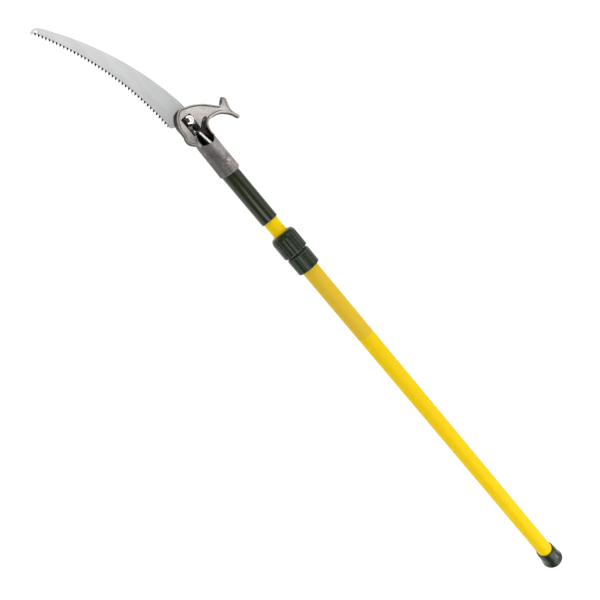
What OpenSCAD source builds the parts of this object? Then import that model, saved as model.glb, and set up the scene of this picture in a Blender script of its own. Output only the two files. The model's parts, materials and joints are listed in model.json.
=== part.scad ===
// Telescoping pole saw, lying flat with its blade level.
// +X runs along the pole to the saw head, +Y to the toothed side, +Z up.
// Lengths are in millimetres. Inside the modules X is counted from the bottom
// of the end cap, and Y and Z from the axis of the pole.

/* [Pole] */
// Outside diameter of the outer tube
outer_d = 38.1; // [37.6:0.1:38.6]
// Wall of the outer tube
outer_wall = 2.25; // [2.0:0.05:2.3]
// Length of outer tube that shows between the cap and the lock
outer_shown = 945; // [700:1:1500]
// Outside diameter of the inner tube
inner_d = 31.75; // [31.5:0.05:31.8]
// Wall of the inner tube
inner_wall = 2.6; // [2.0:0.1:3.0]
// Length of inner tube that shows when the pole is closed
inner_shown = 34.5; // [20:0.5:60]
// Travel of the inner tube when the pole is drawn out
stroke = 790; // [400:5:800]
// Length of the sleeve that shows on the inner tube
sleeve_shown = 119.5; // [80:0.5:160]
// Outside diameter of the sleeve
sleeve_d = 38.6; // [36:0.1:38.8]

/* [End cap] */
// Height of the cap over the tube
cap_len = 39; // [32:1:50]
// Diameter of the cap at its foot
cap_foot_d = 53; // [50:0.5:54]
// Diameter of the cap at its rim
cap_rim_d = 44.2; // [43:0.2:46]

/* [Twist lock] */
// Diameter over the ribs of the lock nut
nut_d = 57.2; // [54:0.2:60]
// Length of the lock nut
nut_len = 49.5; // [49:0.5:60]
// Number of grip grooves on the lock nut
nut_grooves = 10; // [6:1:14]
// Diameter over the ribs of the fixed collar
base_d = 52.4; // [50:0.2:54]
// Length of the fixed collar
base_len = 37.5; // [36:0.5:50]
// Number of grip grooves on the fixed collar
base_grooves = 16; // [8:1:24]
// Gap between the collar and the nut when locked
lock_gap = 6; // [5:0.5:10]

/* [Saw head] */
// Outside diameter of the socket neck at its mouth
neck_d = 45.8; // [45:0.2:46.4]
// Depth that the pole goes into the socket
socket_depth = 65; // [50:1:65]
// Thickness of the plate
plate_t = 11; // [10:0.5:12]
// Across flats of the blade nuts
nut_af = 16; // [15.5:0.1:16]
// Distance between the two blade bolts
bolt_pitch = 18.8; // [18.6:0.1:18.9]

/* [Blade] */
// Thickness of the blade
blade_t = 1.6; // [1.2:0.1:1.6]
// Number of teeth
teeth = 41; // [30:1:45]
// Depth of the gullets between the teeth
gullet = 5; // [3:0.5:5]
// Radius of the hole at the tip
tip_hole_r = 2.6; // [1.5:0.1:2.6]

/* [Hidden] */
$fn = 64;

// stations along the pole, from the bottom of the cap
cap_floor = 4;
base_x0 = cap_len + outer_shown;
base_x1 = base_x0 + base_len;
tube_top = base_x1 - 7;
nut_x0 = base_x1 + lock_gap;
nut_x1 = nut_x0 + nut_len;
sleeve_x0 = nut_x1 + inner_shown;
head_x = sleeve_x0 + sleeve_shown + 2;
tip_x = 400;
overall = head_x + tip_x;

// the axis of the pole stands off the middle of the object's box, because
// the blade reaches further to its side than the hook does to the other
axis_y = -13.6;
axis_z = nut_d / 2;

outer_r = outer_d / 2;
outer_bore = outer_r - outer_wall;
inner_r = inner_d / 2;
inner_bore = inner_r - inner_wall;
slide_r = outer_bore - 0.3;
neck_r = neck_d / 2;
sleeve_r = sleeve_d / 2;
stop_x1 = tube_top - stroke;
inner_x0 = stop_x1 - 125;

// levels in the head, from the axis of the pole
plate_z0 = -1.5;
plate_z1 = plate_z0 + plate_t;
blade_z0 = plate_z0 - blade_t;
pocket_z = 3;
bolt_r = 5;
bolt_y = -1.2;
bolt_rear_x = 105.2;
bolt_front_x = bolt_rear_x + bolt_pitch;
hex_r = nut_af / sqrt(3);
back_z = blade_z0 - 1.6;
screw_x = 20.5;
screw_tilt = 18;
// the neck stands a little to the hook side of the pole, and narrows to the plate
neck_off = -1.4;
plate_end_r = neck_r - 1;

tube_yellow = [0.96, 0.80, 0.08];
dark_green = [0.14, 0.19, 0.15];
cast_grey = [0.62, 0.59, 0.57];
steel_grey = [0.80, 0.81, 0.82];
zinc = [0.86, 0.87, 0.88];
black = [0.06, 0.06, 0.06];
nylon = [0.90, 0.89, 0.84];

// ---------- helpers ----------

module pole_frame() { translate([-overall / 2, axis_y, axis_z]) children(); }
module head_frame() { pole_frame() translate([head_x, 0, 0]) children(); }
module xcyl(x0, x1, r) { translate([x0, 0, 0]) rotate([0, 90, 0]) cylinder(h = x1 - x0, r = r); }
// a solid of revolution about the pole, from points [radius, x]
module turned(p) { rotate([0, 90, 0]) rotate_extrude() polygon(p); }
// grooves along the pole, round in section
module grooves(n, r, at, x0, x1, phase = 0) {
  for (i = [0:n - 1]) rotate([phase + i * 360 / n, 0, 0]) translate([0, 0, at]) xcyl(x0, x1, r);
}

// a smooth closed curve through points, m steps from one to the next
function curve_at(a, b, c, d, t) =
  0.5 * (2 * b + (c - a) * t + (2 * a - 5 * b + 4 * c - d) * t * t + (3 * b - a - 3 * c + d) * t * t * t);
function closed_curve(p, m) = let (n = len(p)) [
  for (i = [0:n - 1], k = [0:m - 1])
    curve_at(p[(i + n - 1) % n], p[i], p[(i + 1) % n], p[(i + 2) % n], k / m)
];
function on_circle(c, r, a) = [c.x + r * cos(a), c.y + r * sin(a)];

// ---------- outer pole ----------

module end_cap() {
  rf = cap_foot_d / 2;
  rr = cap_rim_d / 2;
  color(dark_green) pole_frame() turned([
    [0, 0], [rf - 1.8, 0], [rf - 0.6, 0.5], [rf - 0.1, 1.6], [rf, 3],
    [rf - 0.8, 7], [rf - 1.9, 11], [rf - 2.5, 15], [rf - 2.6, cap_len * 0.54], [rf - 2.7, cap_len * 0.67],
    [rr + 1.1, cap_len - 8], [rr + 0.5, cap_len - 4], [rr, cap_len - 1.2],
    [rr - 0.5, cap_len - 0.3], [rr - 1.2, cap_len], [outer_r + 0.05, cap_len],
    [outer_r + 0.05, cap_floor], [0, cap_floor]
  ]);
}

module outer_tube() {
  color(tube_yellow) pole_frame() difference() {
    xcyl(cap_floor, tube_top, outer_r);
    xcyl(cap_floor - 1, tube_top + 1, outer_bore);
  }
}

// Collar bonded on the outer tube. Its spigot carries the thread of the nut,
// its mouth is the taper that closes the collet, and the step inside it at the
// end of the tube is what the stop ring meets.
module lock_base() {
  r = base_d / 2;
  s = base_x1;
  color(dark_green) pole_frame() difference() {
    turned([
      [outer_r + 0.05, base_x0], [r - 1.4, base_x0], [r - 0.4, base_x0 + 0.7], [r, base_x0 + 2],
      [r, s - 1.6], [r - 0.5, s - 0.5], [r - 1.5, s], [23.3, s], [23.3, s + 4.5], [22.6, s + 4.5],
      [22.6, s + 30], [19.2, s + 30], [17.4, s + 17], [inner_r + 0.275, s + 17],
      [inner_r + 0.275, tube_top], [outer_r + 0.05, tube_top]
    ]);
    grooves(base_grooves, 1.5, r + 0.5, base_x0 - 2, s + 1, 6);
  }
}

// ---------- twist lock ----------

module lock_nut() {
  r = nut_d / 2;
  a = nut_x0;
  b = nut_x1;
  color(dark_green) pole_frame() difference() {
    turned([
      [23.0, a], [r - 1.3, a], [r - 0.4, a + 0.5], [r, a + 1.4], [r, b - 13], [r - 0.5, b - 9.5],
      [r - 1.7, b - 6.2], [r - 3.6, b - 3.4], [r - 6, b - 1.3], [r - 8.4, b - 0.2], [r - 9.6, b],
      [inner_r + 0.6, b], [inner_r + 0.6, a + 34.1], [21.2, a + 34.1], [21.2, a + 28], [23.0, a + 28]
    ]);
    grooves(nut_grooves, 2.6, r + 1, a - 1, b - 8, 8);
  }
}

// Slit collet that the taper of the base closes on the inner tube
module split_collet() {
  s = base_x1;
  color(nylon) pole_frame() difference() {
    turned([
      [inner_r + 0.075, s + 19], [17.37, s + 19], [19.03, s + 31], [19.03, s + 33], [20.2, s + 33],
      [20.2, s + 38], [inner_r + 0.075, s + 38]
    ]);
    for (q = [0, 90]) rotate([q, 0, 0]) translate([s + 18, -0.8, -25]) cube([14, 1.6, 50]);
  }
}

module thrust_washer() {
  s = base_x1;
  color(black) pole_frame() difference() {
    xcyl(s + 38, s + 40, 20.5);
    xcyl(s + 37, s + 41, inner_r + 0.5);
  }
}

// ---------- inner pole ----------

module inner_tube() {
  color(tube_yellow) pole_frame() difference() {
    xcyl(inner_x0, head_x + socket_depth, inner_r);
    xcyl(inner_x0 - 1, head_x + socket_depth + 1, inner_bore);
    translate([inner_x0 + 15, 0, -25]) cylinder(h = 50, r = 2.05);
    translate([head_x + screw_x, 0, 0]) rotate([screw_tilt, 0, 0]) translate([0, 0, -25]) cylinder(h = 50, r = 2.05);
  }
}

module guide_plug() {
  color(nylon) pole_frame() difference() {
    union() {
      xcyl(inner_x0 - 8, inner_x0, slide_r);
      xcyl(inner_x0 - 1, inner_x0 + 30, inner_bore - 0.03);
    }
    translate([inner_x0 + 15, 0, -25]) cylinder(h = 50, r = 2.05);
    xcyl(inner_x0 - 9, inner_x0 + 31, 5);
  }
}

module guide_pin() {
  color(zinc) pole_frame() translate([inner_x0 + 15, 0, -15.6]) cylinder(h = 31.2, r = 2);
}

module stop_ring() {
  color(nylon) pole_frame() difference() {
    xcyl(stop_x1 - 12, stop_x1, slide_r);
    xcyl(stop_x1 - 13, stop_x1 + 1, inner_r + 0.02);
  }
}

// Dowel in the top of the inner tube that the neck screws bite into
module core_plug() {
  color([0.72, 0.55, 0.35]) head_frame() difference() {
    xcyl(4, socket_depth - 4, inner_bore - 0.05);
    translate([screw_x, 0, 0]) rotate([screw_tilt, 0, 0]) translate([0, 0, -25]) cylinder(h = 50, r = 2.05);
  }
}

module grip_sleeve() {
  color(dark_green) pole_frame() turned([
    [inner_r + 0.02, sleeve_x0], [sleeve_r - 1, sleeve_x0], [sleeve_r - 0.3, sleeve_x0 + 0.3], [sleeve_r, sleeve_x0 + 1],
    [sleeve_r, head_x + 11.5], [inner_r + 0.02, head_x + 11.5]
  ]);
}

// ---------- saw head ----------

// Outline of the plate with the branch hook, in the plane of the blade.
// d is the draft: the lower layer of the casting stands out by it at the
// nose, along the cheek and at the prong of the hook.
function plate_outline(d) = [
  [68, 21], [77.5, 21], [83, 25], [87.5, 28.5], [94, 31], [101, 30], [107, 27.5],
  [116, 27], [125 + d * 0.3, 25 + d * 0.2], [133 + d * 0.4, 20.8 + d * 0.6], [139 + d * 0.6, 17 + d * 0.6],
  [145 + d, 10.5 + d * 0.3], [149.6 + d * 0.6, 2], [150.6, -3], [148.4, -10],
  [143.4, -26.6], [134, -44.4], [123.5, -57.6], [113, -70],
  [110 + d * 0.5, -75.5], [114.5 + d * 0.7, -81], [119.8 + d * 0.7, -86.5], [121 + d * 0.6, -90],
  [118.5 + d * 0.3, -92.6], [113, -92.6], [107, -91.2], [100, -89], [92, -88],
  [83.6, -89.2], [77, -92.6], [72.6, -92.8], [71.6, -89.8], [75, -87], [80.5, -85],
  [88, -80.6], [94.6, -73], [99.6, -64], [102.2, -53.5], [103.2, -43],
  [101, -34.2], [96.8, -28], [90.2, -24.4], [82, -22.4], [72, -21.4]
];

module plate() {
  translate([0, 0, plate_z0]) linear_extrude(plate_t / 2) polygon(closed_curve(plate_outline(3.5), 4));
  translate([0, 0, plate_z0 + plate_t / 2 - 0.01]) linear_extrude(plate_t / 2 + 0.01) polygon(closed_curve(plate_outline(0), 4));
}

module neck() {
  difference() {
    union() {
      translate([0, neck_off, 0]) rotate([0, 0, -0.8]) translate([-8, 0, 0]) rotate([0, 90, 0])
        cylinder(h = 75, r1 = neck_r + 0.1, r2 = plate_end_r);
      // the back of the neck runs on under the plate and ends round
      intersection() {
        translate([0, neck_off - 0.9, 0]) union() { xcyl(60, 73.5, plate_end_r - 0.8); translate([73.5, 0, 0]) sphere(r = plate_end_r - 0.8); }
        translate([50, -30, -30]) cube([60, 60, 30 + plate_z1]);
      }
      for (q = [0, 180]) translate([screw_x, 0, 0]) rotate([screw_tilt + q, 0, 0]) translate([0, 0, 12]) cylinder(h = neck_r + 2 - 12, r = 8);
    }
    // sloping mouth: longer on the front than at the back
    translate([1, 0, 0]) rotate([0, -12, 0]) translate([-60, -40, -60]) cube([60, 80, 120]);
  }
}

// hollows in the face of the plate, each side of the rib
hollow_right = [
  [69, -6], [82, -6], [94, -7], [101, -12.5], [107, -17.5], [111, -22.5], [113, -28], [112.5, -33],
  [108.5, -36], [104.6, -33], [99, -25.6], [91.4, -21.6], [82.4, -19.4], [69, -18.4]
];
hollow_left = [
  [69, 2.6], [80, 2.4], [91, 2.4], [94, 4.2], [93.4, 8], [90, 10.6], [83, 12.4], [76.4, 12], [71, 8]
];

module saw_head() {
  color(cast_grey) head_frame() union() {
    difference() {
      union() { neck(); plate(); }
      xcyl(-20, 12, sleeve_r + 0.1);
      xcyl(-20, socket_depth + 0.5, inner_r + 0.075);
      // the core of the socket runs on and opens the plate behind the pocket
      xcyl(socket_depth - 1, 77, inner_r + 0.075);
      translate([77, 0, 0]) sphere(r = inner_r + 0.075);
      for (h = [hollow_right, hollow_left]) translate([0, 0, 0.5]) linear_extrude(12) polygon(closed_curve(h, 4));
      // pocket for the two nuts
      translate([95.8, -11.8, pocket_z]) cube([38.1, 23.3, 20]);
      for (x = [bolt_rear_x, bolt_front_x]) translate([x, bolt_y, -10]) cylinder(h = 30, r = bolt_r + 0.2);
      for (q = [0, 180]) translate([screw_x, 0, 0]) rotate([screw_tilt + q, 0, 0]) {
        translate([0, 0, 10]) cylinder(h = 20, r = 2.05);
        translate([0, 0, neck_r - 0.6]) cylinder(h = 10, r = 3.6);
      }
    }
    // rib from the neck down to the plate
    translate([0, bolt_y + 2.25, 0]) rotate([90, 0, 0]) linear_extrude(4.5)
      polygon([[socket_depth + 0.8, -17], [82, -17], [92, -8], [95.7, 2], [95.7, 9.8], [66.5, 20.5], [socket_depth + 0.8, 20.5]]);
  }
}

module neck_screws() {
  color(zinc) head_frame() for (q = [0, 180]) translate([screw_x, 0, 0]) rotate([screw_tilt + q, 0, 0]) {
    translate([0, 0, 6]) cylinder(h = neck_r - 5.4, r = 2);
    difference() {
      translate([0, 0, neck_r - 0.5]) cylinder(h = 2, r = 3.4);
      translate([0, 0, neck_r + 0.4]) cylinder(h = 3, r = 1.6, $fn = 6);
    }
  }
}

// ---------- blade ----------

// The back of the blade and the line of its teeth are arcs, and the teeth
// get finer towards the tip.
back_c = [80, 447];
back_r = 469;
tooth_c = [132, 506];
tooth_r = 466.5;
tooth_a0 = -89.1;
tooth_a1 = -55.8;
function tooth_a(k) = let (f = k / teeth) tooth_a0 + (tooth_a1 - tooth_a0) * (f * 1.13 - f * f * 0.13);
function blade_outline() = concat(
  // shank under the plate
  [[98, -13], [98, 9], [120, 10], [127, 14], [130.5, 23], [131.5, 29], [133.6, 34.4], [136.4, 38]],
  // teeth, tip of each and the gullet behind it
  [for (k = [0:teeth - 1]) each [
    on_circle(tooth_c, tooth_r, tooth_a(k)),
    on_circle(tooth_c, tooth_r + gullet, tooth_a(k + 0.40)),
    on_circle(tooth_c, tooth_r + gullet, tooth_a(k + 0.90))
  ]],
  [on_circle(tooth_c, tooth_r, tooth_a1), [397.8, 120.0], [399.6, 116], [400, 111.5], [399.9, 107.5], [399, 105], [397, 102.6]],
  // back
  [for (a = [-47.6:-1.5:-80.6]) on_circle(back_c, back_r, a)],
  [[150, -16], [138, -15.4], [118, -13.6]]
);

module blade() {
  color(steel_grey) head_frame() difference() {
    translate([0, 0, blade_z0]) linear_extrude(blade_t) polygon(blade_outline());
    for (x = [bolt_rear_x, bolt_front_x]) translate([x, bolt_y, blade_z0 - 1]) cylinder(h = 5, r = bolt_r + 0.15);
    translate([395.2, 110, blade_z0 - 1]) cylinder(h = 5, r = tip_hole_r);
  }
}

module at_bolt(x) { head_frame() translate([x, bolt_y, 0]) children(); }
module hexagon_bar(z0, z1) { translate([0, 0, z0]) cylinder(h = z1 - z0, r = hex_r, $fn = 6); }
module ring(z0, z1, r, hole) {
  difference() {
    translate([0, 0, z0]) cylinder(h = z1 - z0, r = r);
    translate([0, 0, z0 - 1]) cylinder(h = z1 - z0 + 2, r = hole);
  }
}

// put in from the back of the blade
module blade_bolt_front() {
  color(zinc) at_bolt(bolt_front_x) {
    hexagon_bar(back_z - 6.4, back_z);
    translate([0, 0, back_z - 0.1]) cylinder(h = 11.2 - back_z + 0.1, r = bolt_r);
  }
}

// put in from the front: round head, seated on a hexagon
module blade_bolt_rear() {
  color(black) at_bolt(bolt_rear_x) {
    translate([0, 0, back_z - 9]) cylinder(h = 11 - back_z + 9.1, r = bolt_r);
    rotate_extrude() polygon([
      [0, 11], [7.3, 11], [7.3, 11.8], [7.1, 12.5], [6.6, 13.2], [5.7, 13.9], [4.4, 14.5], [2.8, 14.9], [0, 15.1]
    ]);
  }
}

module blade_nut_front() {
  color(zinc) at_bolt(bolt_front_x) difference() {
    hexagon_bar(pocket_z + 2, pocket_z + 10);
    translate([0, 0, 0]) cylinder(h = 20, r = bolt_r + 0.05);
  }
}

// on the back of the blade
module blade_nut_rear() {
  color(black) at_bolt(bolt_rear_x) difference() {
    hexagon_bar(back_z - 8, back_z);
    translate([0, 0, back_z - 12]) cylinder(h = 20, r = bolt_r + 0.05);
  }
}

module hex_seat_rear() {
  color(zinc) at_bolt(bolt_rear_x) difference() {
    hexagon_bar(pocket_z + 2, 11);
    translate([0, 0, 0]) cylinder(h = 20, r = bolt_r + 0.05);
  }
}

module lock_washers() {
  color(zinc) for (x = [bolt_rear_x, bolt_front_x]) at_bolt(x) difference() {
    ring(pocket_z, pocket_z + 2, 8.2, bolt_r + 0.1);
    translate([3, -0.5, pocket_z - 1]) cube([8, 1, 4]);
  }
}

module blade_washers() {
  color(zinc) for (x = [bolt_rear_x, bolt_front_x]) at_bolt(x) ring(back_z, back_z + 1.6, 8.4, bolt_r + 0.1);
}

end_cap();
outer_tube();
lock_base();
lock_nut();
split_collet();
thrust_washer();
inner_tube();
guide_plug();
guide_pin();
stop_ring();
core_plug();
grip_sleeve();
saw_head();
neck_screws();
blade();
blade_bolt_front();
blade_bolt_rear();
blade_nut_front();
blade_nut_rear();
hex_seat_rear();
lock_washers();
blade_washers();
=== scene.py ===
import math
import json

import bpy
import numpy as np
from mathutils import Vector, Matrix


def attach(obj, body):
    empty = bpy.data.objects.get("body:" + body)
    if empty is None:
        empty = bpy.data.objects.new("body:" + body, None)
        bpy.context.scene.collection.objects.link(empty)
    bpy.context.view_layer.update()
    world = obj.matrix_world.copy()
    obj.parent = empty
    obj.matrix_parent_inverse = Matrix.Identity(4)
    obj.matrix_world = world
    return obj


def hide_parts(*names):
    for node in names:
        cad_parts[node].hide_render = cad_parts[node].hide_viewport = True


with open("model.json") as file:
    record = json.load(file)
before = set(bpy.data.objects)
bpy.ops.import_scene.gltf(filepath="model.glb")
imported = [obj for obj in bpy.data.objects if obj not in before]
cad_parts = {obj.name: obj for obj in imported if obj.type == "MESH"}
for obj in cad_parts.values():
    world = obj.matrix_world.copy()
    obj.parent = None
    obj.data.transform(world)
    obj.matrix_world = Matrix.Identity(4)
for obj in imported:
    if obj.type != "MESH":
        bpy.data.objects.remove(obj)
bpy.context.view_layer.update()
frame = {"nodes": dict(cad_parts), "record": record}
scene = bpy.context.scene

# Lengths below are in millimetres until a mesh is made. Head coordinates count
# U from the mouth of the socket along the pole, and Y and Z from the pole's axis.
HEAD_X = 416.5
POLE_X = -816.5
AXIS_Y = -13.6
AXIS_Z = 28.6


def to_row(p, x0):
    p = np.asarray(p, float)
    return (p + np.array([x0, AXIS_Y, AXIS_Z])) / 1000.0


# ---------------------------------------------------------------- meshes
def make_object(name, verts, faces, material, body, replaces=(), smooth=True, sharp_deg=None, uv=None):
    me = bpy.data.meshes.new(name)
    me.from_pydata([tuple(v) for v in verts], [], [tuple(f) for f in faces])
    me.validate()
    me.update()
    ob = bpy.data.objects.new(name, me)
    scene.collection.objects.link(ob)
    if smooth:
        me.polygons.foreach_set("use_smooth", [True] * len(me.polygons))
        if sharp_deg is not None:
            me.set_sharp_from_angle(angle=math.radians(sharp_deg))
    if isinstance(material, (list, tuple)):
        for mt in material:
            me.materials.append(mt)
    else:
        me.materials.append(material)
    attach(ob, body)
    if replaces:
        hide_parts(*replaces)
    return ob


def surface_nets(f, origin, h):
    """Closed quad mesh of the zero level of a field on a grid, negative inside."""
    nx, ny, nz = f.shape
    cx, cy, cz = nx - 1, ny - 1, nz - 1
    acc = np.zeros((cx, cy, cz, 3), np.float64)
    cnt = np.zeros((cx, cy, cz), np.int32)
    inside = f < 0
    for ax in range(3):
        a = [slice(None)] * 3
        b = [slice(None)] * 3
        a[ax] = slice(0, -1)
        b[ax] = slice(1, None)
        cross = inside[tuple(a)] != inside[tuple(b)]
        idx = np.argwhere(cross)
        f0 = f[tuple(a)][cross]
        f1 = f[tuple(b)][cross]
        t = f0 / (f0 - f1)
        pos = idx.astype(np.float64)
        pos[:, ax] += t
        o1, o2 = [k for k in range(3) if k != ax]
        for d1 in (0, -1):
            for d2 in (0, -1):
                c = idx.copy()
                c[:, o1] += d1
                c[:, o2] += d2
                ok = (c >= 0).all(1) & (c[:, 0] < cx) & (c[:, 1] < cy) & (c[:, 2] < cz)
                cc = c[ok]
                np.add.at(acc, (cc[:, 0], cc[:, 1], cc[:, 2]), pos[ok])
                np.add.at(cnt, (cc[:, 0], cc[:, 1], cc[:, 2]), 1)
    used = cnt > 0
    ids = -np.ones(cnt.shape, np.int64)
    ids[used] = np.arange(used.sum())
    verts = acc[used] / cnt[used][:, None] * h + np.array(origin)
    faces = []
    for ax in range(3):
        o1, o2 = [(1, 2), (2, 0), (0, 1)][ax]
        a = [slice(None)] * 3
        b = [slice(None)] * 3
        a[ax] = slice(0, -1)
        b[ax] = slice(1, None)
        ina = inside[tuple(a)]
        cross = ina != inside[tuple(b)]
        idx = np.argwhere(cross)
        keep = (idx[:, o1] > 0) & (idx[:, o2] > 0) & (idx[:, o1] < f.shape[o1] - 1) & (idx[:, o2] < f.shape[o2] - 1)
        idx = idx[keep]
        flip = ina[cross][keep]
        quad = []
        for d1, d2 in ((-1, -1), (0, -1), (0, 0), (-1, 0)):
            c = idx.copy()
            c[:, o1] += d1
            c[:, o2] += d2
            quad.append(ids[c[:, 0], c[:, 1], c[:, 2]])
        q = np.stack(quad, 1)
        q[~flip] = q[~flip][:, ::-1]
        faces.append(q)
    return verts, np.concatenate(faces)


def rmax(a, b, r):
    """Intersection of two fields with a rounded edge of radius r."""
    u = np.maximum(a + r, 0)
    v = np.maximum(b + r, 0)
    return np.minimum(-r, np.maximum(a, b)) + np.sqrt(u * u + v * v)


def rmin(a, b, r):
    """Union of two fields with a fillet of radius r."""
    u = np.maximum(r - a, 0)
    v = np.maximum(r - b, 0)
    return np.maximum(r, np.minimum(a, b)) - np.sqrt(u * u + v * v)


def step(x, a, b):
    t = np.clip((x - a) / (b - a), 0, 1)
    return t * t * (3 - 2 * t)


def closed_curve(p, m):
    p = np.asarray(p, float)
    n = len(p)
    out = []
    for i in range(n):
        a, b, c, d = p[i - 1], p[i], p[(i + 1) % n], p[(i + 2) % n]
        for k in range(m):
            t = k / m
            out.append(0.5 * (2 * b + (c - a) * t + (2 * a - 5 * b + 4 * c - d) * t * t + (3 * b - a - 3 * c + d) * t ** 3))
    return np.array(out)


def poly_field(poly, u, y):
    """Signed distance to a closed polygon, negative inside."""
    best = np.full(u.shape, 1e9)
    inside = np.zeros(u.shape, bool)
    n = len(poly)
    for i in range(n):
        ax, ay = poly[i]
        bx, by = poly[(i + 1) % n]
        ex, ey = bx - ax, by - ay
        wx, wy = u - ax, y - ay
        ll = ex * ex + ey * ey
        if ll < 1e-12:
            continue
        t = np.clip((wx * ex + wy * ey) / ll, 0, 1)
        best = np.minimum(best, (wx - ex * t) ** 2 + (wy - ey * t) ** 2)
        if ay != by:
            hit = ((ay > y) != (by > y)) & (u < ex * (y - ay) / ey + ax)
            inside ^= hit
    d = np.sqrt(best)
    return np.where(inside, -d, d)


def turned(rx, n_theta, shape=None):
    """Closed ring mesh from a closed loop of [radius, x]. shape(theta, x, r) gives the radius."""
    rx = np.asarray(rx, float)
    m = len(rx)
    th = np.linspace(0, 2 * math.pi, n_theta, endpoint=False)
    r = np.repeat(rx[:, 0][None, :], n_theta, 0)
    x = np.repeat(rx[:, 1][None, :], n_theta, 0)
    if shape is not None:
        r = shape(th[:, None], x, r)
    v = np.stack([x, r * np.sin(th[:, None]), r * np.cos(th[:, None])], -1).reshape(-1, 3)
    faces = []
    for i in range(n_theta):
        j = (i + 1) % n_theta
        for k in range(m):
            l = (k + 1) % m
            faces.append((i * m + k, i * m + l, j * m + l, j * m + k))
    return v, faces


def refine(rx, longest):
    out = []
    n = len(rx)
    for i in range(n):
        a, b = np.array(rx[i], float), np.array(rx[(i + 1) % n], float)
        k = max(1, int(math.ceil(np.linalg.norm(b - a) / longest)))
        for j in range(k):
            out.append(a + (b - a) * j / k)
    return np.array(out)


# ---------------------------------------------------------------- materials
def new_mat(name):
    mt = bpy.data.materials.new(name)
    mt.use_nodes = True
    nt = mt.node_tree
    return mt, nt, nt.nodes["Principled BSDF"]


def nd(nt, kind, **values):
    n = nt.nodes.new(kind)
    for k, v in values.items():
        if hasattr(n, k):
            setattr(n, k, v)
        else:
            n.inputs[k.replace("_", " ")].default_value = v
    return n


def coords(nt, scale=(1, 1, 1)):
    tc = nt.nodes.new("ShaderNodeTexCoord")
    mp = nt.nodes.new("ShaderNodeMapping")
    mp.inputs["Scale"].default_value = scale
    nt.links.new(tc.outputs["Object"], mp.inputs["Vector"])
    return mp.outputs["Vector"]


def noise(nt, vec, scale, detail=3.0, rough=0.5):
    n = nt.nodes.new("ShaderNodeTexNoise")
    n.inputs["Scale"].default_value = scale
    n.inputs["Detail"].default_value = detail
    n.inputs["Roughness"].default_value = rough
    nt.links.new(vec, n.inputs["Vector"])
    return n.outputs["Fac"]


def ramp(nt, fac, stops):
    r = nt.nodes.new("ShaderNodeValToRGB")
    el = r.color_ramp.elements
    while len(el) < len(stops):
        el.new(0.5)
    for e, (p, c) in zip(el, stops):
        e.position = p
        e.color = (*c, 1) if len(c) == 3 else c
    nt.links.new(fac, r.inputs["Fac"])
    return r.outputs["Color"]


def bump(nt, bsdf, height, strength, distance):
    b = nt.nodes.new("ShaderNodeBump")
    b.inputs["Strength"].default_value = strength
    b.inputs["Distance"].default_value = distance
    nt.links.new(height, b.inputs["Height"])
    nt.links.new(b.outputs["Normal"], bsdf.inputs["Normal"])
    return b


def rough_from(nt, bsdf, fac, lo, hi):
    m = nt.nodes.new("ShaderNodeMapRange")
    m.inputs["To Min"].default_value = lo
    m.inputs["To Max"].default_value = hi
    nt.links.new(fac, m.inputs["Value"])
    nt.links.new(m.outputs["Result"], bsdf.inputs["Roughness"])


def two_tone(name, c1, c2, scale, rough_lo, rough_hi, metal=0.0, stretch=(1, 1, 1), bump_amt=0.0, bump_scale=None, spec=0.5, coat=0.0, coat_rough=0.05):
    mt, nt, b = new_mat(name)
    v = coords(nt, stretch)
    f = noise(nt, v, scale)
    nt.links.new(ramp(nt, f, [(0.35, c1), (0.65, c2)]), b.inputs["Base Color"])
    rough_from(nt, b, f, rough_lo, rough_hi)
    b.inputs["Metallic"].default_value = metal
    b.inputs["Specular IOR Level"].default_value = spec
    b.inputs["Coat Weight"].default_value = coat
    b.inputs["Coat Roughness"].default_value = coat_rough
    if bump_amt:
        g = noise(nt, v, bump_scale or scale * 4, 4.0, 0.6)
        bump(nt, b, g, 1.0, bump_amt)
    return mt


def mix_col(nt, fac, a, b):
    m = nt.nodes.new("ShaderNodeMix")
    m.data_type = "RGBA"
    for sock, val in (("Factor", fac), ("A", a), ("B", b)):
        s_ = [i for i in m.inputs if i.name == sock and i.type == ("VALUE" if sock == "Factor" else "RGBA")][0]
        if hasattr(val, "is_output"):
            nt.links.new(val, s_)
        else:
            s_.default_value = val if sock == "Factor" else (*val, 1)
    return [o for o in m.outputs if o.type == "RGBA"][0]


def math_node(nt, op, a, b=None, c=None, clamp=False):
    m = nt.nodes.new("ShaderNodeMath")
    m.operation = op
    m.use_clamp = clamp
    for i, v in enumerate((a, b, c)):
        if v is None:
            continue
        if hasattr(v, "is_output"):
            nt.links.new(v, m.inputs[i])
        else:
            m.inputs[i].default_value = v
    return m.outputs[0]


def lock_material():
    """Glossy dark plastic, with painted shade nearly black down in the grooves and in the gap under the nut, and
    painted highlights along the edges.
    """
    mt, nt, b = new_mat("lock_plastic")
    v = coords(nt)
    f = noise(nt, v, 60)
    base = ramp(nt, f, [(0.35, (0.008, 0.020, 0.005)), (0.65, (0.014, 0.029, 0.010))])
    at = nt.nodes.new("ShaderNodeVertexColor")
    at.layer_name = "lock_painted_light"
    sep = nt.nodes.new("ShaderNodeSeparateColor")
    nt.links.new(at.outputs["Color"], sep.inputs["Color"])
    # painted shade: grooves and the gap mixed towards near black
    c1 = mix_col(nt, sep.outputs[0], base, (0.001, 0.003, 0.001))
    # painted highlights: edges mixed towards pale grey
    c2 = mix_col(nt, math_node(nt, "MULTIPLY_ADD", sep.outputs[1], 0.9, 0.0, clamp=True), c1, (0.20, 0.225, 0.19))
    nt.links.new(c2, b.inputs["Base Color"])
    rough = math_node(nt, "MULTIPLY_ADD", sep.outputs[0], 0.35, 0.24)
    nt.links.new(rough, b.inputs["Roughness"])
    b.inputs["Specular IOR Level"].default_value = 0.34
    g = noise(nt, v, 400, 4.0, 0.6)
    bump(nt, b, g, 1.0, 0.00003)
    return mt


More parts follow.
